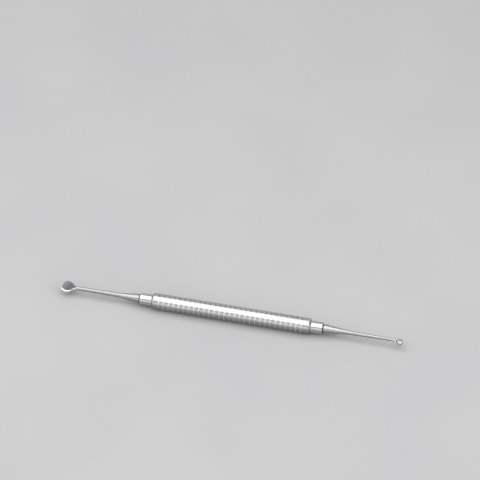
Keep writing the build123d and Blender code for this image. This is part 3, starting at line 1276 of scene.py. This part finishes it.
@dataclass
class MirrorEnd:
    """The mirror end: shank, braze bead, cup with its neck, and the glass in the cup."""

    place: Place
    screws: Screws
    steps: int = 96
    bead_length: float = 0.35 * MM
    bead_seat: float = 0.80 * MM
    bead_rise: float = 0.07 * MM
    bead_spread: float = 0.05 * MM
    bead_rows: int = 9
    tenon_radius: float = 0.50 * MM
    tenon_length: float = 1.5 * MM
    taper_end_radius: float = 0.93 * MM
    neck_end: float = -77.26 * MM
    neck_end_radius: float = 0.98 * MM
    neck_flare: float = 2.2
    neck_rows: int = 22
    foot_ring: float = 3.15 * MM
    foot_half_width: float = 2.05 * MM
    foot_half_height: float = 0.44 * MM
    foot_height: float = -0.03 * MM
    cup_radius: float = 3.3 * MM
    lip_top: float = 0.58 * MM
    lip_overhang: float = 0.14 * MM
    lip_thickness: float = 0.14 * MM
    lip_roll: float = 0.42 * MM
    mouth_draft: float = 0.01 * MM
    glass_gap: float = 0.02 * MM
    back_low: float = -0.78 * MM
    back_edge: float = -0.56 * MM
    back_step: float = 0.02 * MM
    back_roll: float = 0.22 * MM
    dome_share: float = 0.93
    dome_steps: int = 8
    floor_top: float = -0.36 * MM

    def centre(self) -> Vector:
        """The middle of the glass, at the height of the axis."""
        low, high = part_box("mirror_glass")
        return Vector(((low.x + high.x) / 2, 0.0, self.place.axis_height))

    def glass_radius(self) -> float:
        """The glass's radius, from its packed box."""
        low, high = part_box("mirror_glass")
        return (high.x - low.x) / 2

    def shank(self) -> bpy.types.Mesh:
        """The stem with its screw stud and the tenon that enters the neck."""
        bead_end = self.neck_end + self.bead_length
        shank = Shank(
            self.place, Side.MIRROR, self.screws.shoulder(Side.MIRROR),
            flare_length=7.6 * MM, flare_end_radius=1.38 * MM,
            taper_start=-55.81 * MM, taper_start_radius=1.23 * MM,
            taper_end=bead_end, taper_end_radius=self.taper_end_radius,
        )
        outline = rounded(shank.outline() + [
            Corner(bead_end, self.bead_seat),
            Corner(self.neck_end, self.bead_seat),
            Corner(self.neck_end, self.tenon_radius),
            Corner(self.neck_end - self.tenon_length, self.tenon_radius),
            Corner(self.neck_end - self.tenon_length, 0.0),
        ])
        skin = turned(outline, self.place.axis_height, shank.segments)
        return join("mirror_stem_turned", [skin.mesh("stem"), self.screws.outer(Side.MIRROR)])

    def bead(self) -> bpy.types.Mesh:
        """The braze bead, a little uneven where it flowed."""
        bead_end = self.neck_end + self.bead_length
        skin = Skin(self.steps)
        skin.ring(circle(self.neck_end, self.bead_seat, self.place.axis_height, self.steps))
        for step in range(self.bead_rows + 1):
            share = step / self.bead_rows
            base = self.neck_end_radius + (self.taper_end_radius - self.neck_end_radius) * share
            crown = math.sin(math.pi * share)
            ring = []
            for index in range(self.steps):
                angle = TURN * index / self.steps
                # Two broad swells, five small ones and three waves along the edge, all out of step.
                uneven = 0.12 * math.sin(2 * angle + 0.7) + 0.08 * math.sin(5 * angle + 2.0)
                spread = self.bead_spread * math.sin(3 * angle + 1.1) * crown
                along = self.neck_end + self.bead_length * share + spread * (share - 0.5)
                radius = base + self.bead_rise * crown * (1 + uneven)
                height = self.place.axis_height + radius * math.sin(angle)
                ring.append((along, radius * math.cos(angle), height))
            skin.ring(ring)
        skin.ring(circle(bead_end, self.bead_seat, self.place.axis_height, self.steps))
        skin.close()
        return skin.mesh("braze_bead_flowed")

    def cup_shell(self) -> bpy.types.Mesh:
        """The round cup with its domed back and the lip rolled over the glass."""
        centre = self.centre()
        inner = self.glass_radius() + self.glass_gap
        mouth = self.glass_radius() - self.lip_overhang
        dome = []
        for step in range(self.dome_steps + 1):
            out = step / self.dome_steps
            low = self.back_low + (self.back_edge - self.back_low) * out ** 2
            dome.append(Corner(low, self.cup_radius * self.dome_share * out))
        outline = rounded(dome + [
            Corner(self.back_edge + self.back_step, self.cup_radius, blend=self.back_roll),
            Corner(self.lip_top, self.cup_radius, blend=self.lip_roll),
            Corner(self.lip_top, mouth, blend=0.02 * MM),
            Corner(self.lip_top - self.lip_thickness, mouth + self.mouth_draft, blend=0.04 * MM),
            Corner(self.lip_top - self.lip_thickness, inner, blend=0.02 * MM),
            Corner(self.floor_top, inner, blend=0.04 * MM),
            Corner(self.floor_top, 0.0),
        ])
        skin = Skin(self.steps)
        for height, radius in outline:
            skin.ring(circle(centre.x, radius, centre.z + height, self.steps, level=True))
        return skin.mesh("cup_shell")

    def neck(self) -> bpy.types.Mesh:
        """The neck, round at the shank and spreading flat into the cup's wall."""
        centre = self.centre()
        skin = Skin(self.steps)
        turns = [TURN * index / self.steps for index in range(self.steps)]

        def section(share: float, shrink: float) -> list[Spot]:
            """Points of the neck at a share of its length, drawn in towards its middle."""
            spread, squeeze = share ** self.neck_flare, smooth_step(share)
            half_width = self.neck_end_radius + (self.foot_half_width - self.neck_end_radius) * spread
            half_height = self.neck_end_radius + (self.foot_half_height - self.neck_end_radius) * squeeze
            middle = self.place.axis_height + self.foot_height * squeeze
            points = []
            for angle in turns:
                side = half_width * math.cos(angle) * shrink
                foot = centre.x + math.sqrt(self.foot_ring ** 2 - side ** 2)
                along = self.neck_end + (foot - self.neck_end) * share
                points.append((along, side, middle + half_height * math.sin(angle) * shrink))
            return points

        skin.ring([(self.neck_end, 0.0, self.place.axis_height)])
        for shrink in (0.5, 0.97):
            skin.ring(section(0.0, shrink))
        for row in range(self.neck_rows + 1):
            skin.ring(section(row / self.neck_rows, 1.0))
        skin.ring(section(1.0, 0.5))
        foot = centre.x + self.foot_ring
        skin.ring([(foot, 0.0, self.place.axis_height + self.foot_height)])
        return skin.mesh("neck")

    def dress(self) -> None:
        """Builds and dresses the mirror end's pieces."""
        place, body, centre, radius = self.place, Body.MIRROR_END, self.centre(), self.glass_radius()
        steel = DrawnSteel("polished_shank_steel", place).build()
        place_piece(self.shank(), steel, body, ["mirror_stem"])
        place_piece(self.bead(), BrazeFiller("pale_braze", place).build(), body, ["braze_bead"])
        cup = join("mirror_cup_spun", [self.cup_shell(), self.neck()])
        cup_steel = CupSteel("spun_cup_steel", place, centre, self.cup_radius).build()
        place_piece(cup, cup_steel, body, ["mirror_cup"])
        face = MirrorFace("front_surface_coating", place, centre, radius).build()
        dress_node("mirror_coating", face)
        glass = ClearGlass("clear_glass_ground_edge", place, centre, radius).build()
        dress_node("mirror_glass", glass)
        dress_node("glass_cement", BondingCement("glass_bonding_cement", place).build())


@dataclass
class SpoonEnd:
    """The spoon end: one piece of steel from the screw stud to the open bowl."""

    place: Place
    screws: Screws
    segments: int = 96
    shank_end: float = 77.5 * MM
    shank_end_radius: float = 0.76 * MM
    neck_radius: float = 0.58 * MM
    neck_length: float = 3.6 * MM
    widest: float = 83.90 * MM
    bowl_side: float = -0.78 * MM
    rim_height: float = 0.05 * MM
    back_length: float = 2.925 * MM
    front_length: float = 1.706 * MM
    half_width: float = 1.755 * MM
    depth: float = 1.40 * MM
    hollow_back: float = 2.62 * MM
    hollow_front: float = 1.43 * MM
    hollow_width: float = 1.48 * MM
    hollow_depth: float = 1.10 * MM
    neck_drop: float = 0.20 * MM
    rim_rise: float = 0.08 * MM
    rim_share: float = 0.14
    least_hollow: float = 0.45
    tilt_degrees: float = 12.0
    rows: int = 56
    row_crowding: float = 0.9
    hollow_run: float = 1.6
    hollow_round: float = 0.575
    # Stretches along X over which something changes, as a start and a length.
    neck_fade: Point = (-1.0 * MM, 1.6 * MM)
    opening: Point = (-0.3 * MM, 1.8 * MM)
    swerve: Point = (1.9 * MM, 4.3 * MM)
    roll_over: Point = (2.0 * MM, 2.4 * MM)

    @staticmethod
    def _egg(past: float, back: float, front: float) -> float:
        """Share of an egg's width at a place past its widest, from 0 at the ends to 1."""
        inside = 1 - (past / (front if past > 0 else back)) ** 2
        return math.sqrt(max(inside, 0.0))

    def _top_height(self, past: float, side: float, width: float) -> float:
        """Height of the bowl's top over its rim line: the rolled rim and the hollow inside it.

        Args:
            past: distance past the widest place.
            side: distance from the bowl's middle line.
            width: half the bowl's width here.

        Returns:
            The height.
        """
        inner = self._egg(past, self.hollow_back, self.hollow_front)
        hollow = self.hollow_width * inner
        if inner > 0 and side < hollow:
            fall = 1 - (side / hollow) ** 2
            return -self.hollow_depth * inner ** self.hollow_run * fall ** self.hollow_round
        inside, outside = side - hollow, width - side
        if past > 0:
            reach = math.hypot(past / self.hollow_front, side / self.hollow_width)
            spread = math.hypot(past / self.front_length, side / self.half_width)
            inside, outside = (reach - 1) * self.hollow_width, (1 - spread) * self.half_width
        share = min(max(inside / max(inside + outside, MICRON), 0.0), 1.0)
        rim = min((width - hollow) / 2, self.rim_rise)
        return rim * 2 * math.sqrt(share * (1 - share))

    def _top_side(self, past: float, share: float, width: float) -> float:
        """Where a point of the bowl's top lies across it, with points gathered on the rim.

        Args:
            past: distance past the widest place.
            share: 0 at the bowl's edge, 0.5 at its middle line.
            width: half the bowl's width here.

        Returns:
            The distance from the middle line.
        """
        hollow = self.hollow_width * self._egg(past, self.hollow_back, self.hollow_front)
        edge = max(hollow, width * self.least_hollow) if past > 0 else hollow
        if share < self.rim_share:
            roll = math.pi * share / self.rim_share
            return (width + edge) / 2 + (width - edge) / 2 * math.cos(roll)
        swing = math.pi / 2 * (share - self.rim_share) / (0.5 - self.rim_share)
        return edge * math.cos(swing)

    def section(self, along: float) -> list[Spot]:
        """The ring of points round the neck or bowl at one place.

        Args:
            along: place along X.

        Returns:
            The points.
        """
        past = along - self.widest
        gone = min(max((along - self.shank_end) / self.neck_length, 0.0), 1.0)
        neck = self.shank_end_radius + (self.neck_radius - self.shank_end_radius) * smooth_step(gone)
        neck *= 1 - eased_past(past, self.neck_fade)
        outer = self._egg(past, self.back_length, self.front_length)
        width = (neck ** 4 + (self.half_width * outer) ** 4) ** 0.25
        depth = (neck ** 4 + (self.depth * outer) ** 4) ** 0.25
        opened = eased_past(past + self.hollow_back, self.opening)
        top = self.rim_height * opened - self.neck_drop * smooth_step(gone) * (1 - opened)
        points = []
        for index in range(self.segments):
            angle = TURN * index / self.segments
            side, rise = width * math.cos(angle), depth * math.sin(angle)
            if angle <= math.pi:
                share = min(angle, math.pi - angle) / math.pi
                flat = self._top_side(past, share, width)
                rise = neck * math.sin(angle) * (1 - opened) + self._top_height(past, flat, width) * opened
                side += (math.copysign(flat, side) - side) * opened
            points.append((side, top + rise))
        shift = self.bowl_side * eased_past(along - self.shank_end, self.swerve)
        tilt = math.radians(self.tilt_degrees) * eased_past(along - self.shank_end, self.roll_over)
        turn, lean = math.cos(tilt), math.sin(tilt)
        return [
            (along, shift + y * turn - z * lean, self.place.axis_height + y * lean + z * turn)
            for y, z in points
        ]

    def build(self) -> bpy.types.Mesh:
        """The shank, neck and bowl as one skin, with the screw ridge on the stud."""
        shank = Shank(
            self.place, Side.SPOON, self.screws.shoulder(Side.SPOON),
            flare_length=8.25 * MM, flare_end_radius=1.42 * MM,
            taper_start=60.79 * MM, taper_start_radius=1.02 * MM,
            taper_end=self.shank_end, taper_end_radius=self.shank_end_radius,
        )
        skin = turned(rounded(shank.outline()), self.place.axis_height, self.segments)
        tip = self.widest + self.front_length
        for row in range(1, self.rows):
            share = row / self.rows
            eased_share = math.sin(share * math.pi / 2) ** self.row_crowding
            skin.ring(self.section(self.shank_end + (tip - self.shank_end) * eased_share))
        last = self.section(tip)
        middle = [sum(point[axis] for point in last) / len(last) for axis in range(3)]
        skin.ring([middle])
        return join("spoon_tip_forged", [skin.mesh("spoon"), self.screws.outer(Side.SPOON)])

    def dress(self) -> None:
        """Builds and dresses the spoon end."""
        steel = DrawnSteel("polished_spoon_steel", self.place, roughness=0.14).build()
        place_piece(self.build(), steel, Body.SPOON_END, ["spoon_tip"])


# ---- Studio ----


@dataclass(frozen=True)
class Panel:
    """A flat soft light."""

    name: str
    centre: Spot
    aim: Spot
    size: tuple[float, float]
    radiance: float

    def hang(self) -> None:
        """Puts the light in the scene, out of the camera's sight."""
        data = bpy.data.lights.new(self.name, "AREA")
        data.shape = "RECTANGLE"
        data.size, data.size_y = self.size
        data.energy = self.radiance * math.pi * self.size[0] * self.size[1]
        lamp = bpy.data.objects.new(self.name, data)
        lamp.location = self.centre
        away = Vector(self.aim) - Vector(self.centre)
        lamp.rotation_euler = away.to_track_quat("-Z", "Y").to_euler()
        lamp.visible_camera = False
        bpy.context.scene.collection.objects.link(lamp)


@dataclass
class Studio:
    """Pale floor, soft panels, even surroundings and a long lens."""

    place: Place
    azimuth: float = 12.25
    elevation: float = 47.1
    distance: float = 1236.0 * MM
    lens: float = 190.05
    sensor_width: float = 36.0
    clip: Point = (0.05, 20.0)
    aim_along: float = 0.79 * MM
    view_right: float = 3.65 * MM
    view_up: float = 35.9 * MM
    floor_rings: tuple[float, ...] = (0.0, 0.5, 5.0)
    floor_segments: int = 64
    world_colour: Colour = rgb(0.62, 0.62, 0.63)
    world_strength: float = 0.55

    def floor(self) -> None:
        """A wide disc that the handle lies on."""
        skin = Skin(self.floor_segments)
        for radius in self.floor_rings:
            skin.ring(circle(0.0, radius, 0.0, self.floor_segments, level=True))
        mesh = bpy.data.meshes.new("studio_floor")
        mesh.from_pydata(skin.points, [], skin.faces)
        mesh.materials.append(PaleFloor("pale_floor", Place(0.0, 0.0, 0.0)).build())
        floor = bpy.data.objects.new("studio_floor", mesh)
        bpy.context.scene.collection.objects.link(floor)

    def surroundings(self) -> None:
        """Even light grey all round."""
        world = bpy.data.worlds.new("studio_surroundings")
        bpy.context.scene.world = world
        world.use_nodes = True
        background = world.node_tree.nodes["Background"]
        background.inputs["Color"].default_value = self.world_colour
        background.inputs["Strength"].default_value = self.world_strength

    def lights(self) -> None:
        """The overhead softbox and four cards: name, centre, aim, size and radiance."""
        for panel in (
            Panel("overhead_softbox", (0.0, -0.03, 0.60), (0.0, -0.03, 0.0), (2.2, 0.94), 2.3),
            Panel("front_card", (0.0, -0.9, 0.36), (0.0, 0.0, 0.36), (2.2, 0.72), 1.05),
            Panel("back_card", (0.0, 0.9, 0.38), (0.0, 0.0, 0.38), (2.2, 0.74), 0.62),
            Panel("left_card", (-1.1, -0.35, 0.42), (-0.1, 0.0, 0.0), (0.9, 0.7), 2.2),
            Panel("right_card", (1.1, -0.35, 0.42), (0.1, 0.0, 0.0), (0.9, 0.7), 1.4),
        ):
            panel.hang()

    def camera(self) -> None:
        """The long lens, looking down at the instrument from the front."""
        around, above = math.radians(self.azimuth), math.radians(self.elevation)
        level = Vector((math.sin(around), -math.cos(around), 0.0)) * math.cos(above)
        back = level + Vector((0.0, 0.0, math.sin(above)))
        right = Vector((math.cos(around), math.sin(around), 0.0))
        up = back.cross(right)
        middle = Vector((self.aim_along, 0.0, self.place.axis_height))
        data = bpy.data.cameras.new("long_lens")
        data.lens = self.lens
        data.sensor_width = self.sensor_width
        data.clip_start, data.clip_end = self.clip
        camera = bpy.data.objects.new("long_lens", data)
        camera.location = middle + back * self.distance + right * self.view_right + up * self.view_up
        camera.rotation_euler = (-back).to_track_quat("-Z", "Y").to_euler()
        bpy.context.scene.collection.objects.link(camera)
        bpy.context.scene.camera = camera

    def set_up(self) -> None:
        """Builds the studio."""
        self.floor()
        self.surroundings()
        self.lights()
        self.camera()
        bpy.context.scene.view_settings.view_transform = "Standard"


def main() -> None:
    """Builds every sub-assembly in order and then the studio."""
    logging.basicConfig(level=logging.INFO, format="%(name)s: %(message)s")
    place = Place.read()
    screws = Screws(place, ScrewThread())
    Handle(place).dress(screws)
    rubber = SealRubber("seal_rubber_dark", place).build()
    SealRing(place, "mirror_seal_ring").dress(rubber, Body.MIRROR_SEAL)
    SealRing(place, "spoon_seal_ring").dress(rubber, Body.SPOON_SEAL)
    MirrorEnd(place, screws).dress()
    SpoonEnd(place, screws).dress()
    Studio(place).set_up()


if __name__ == "__main__":
    main()
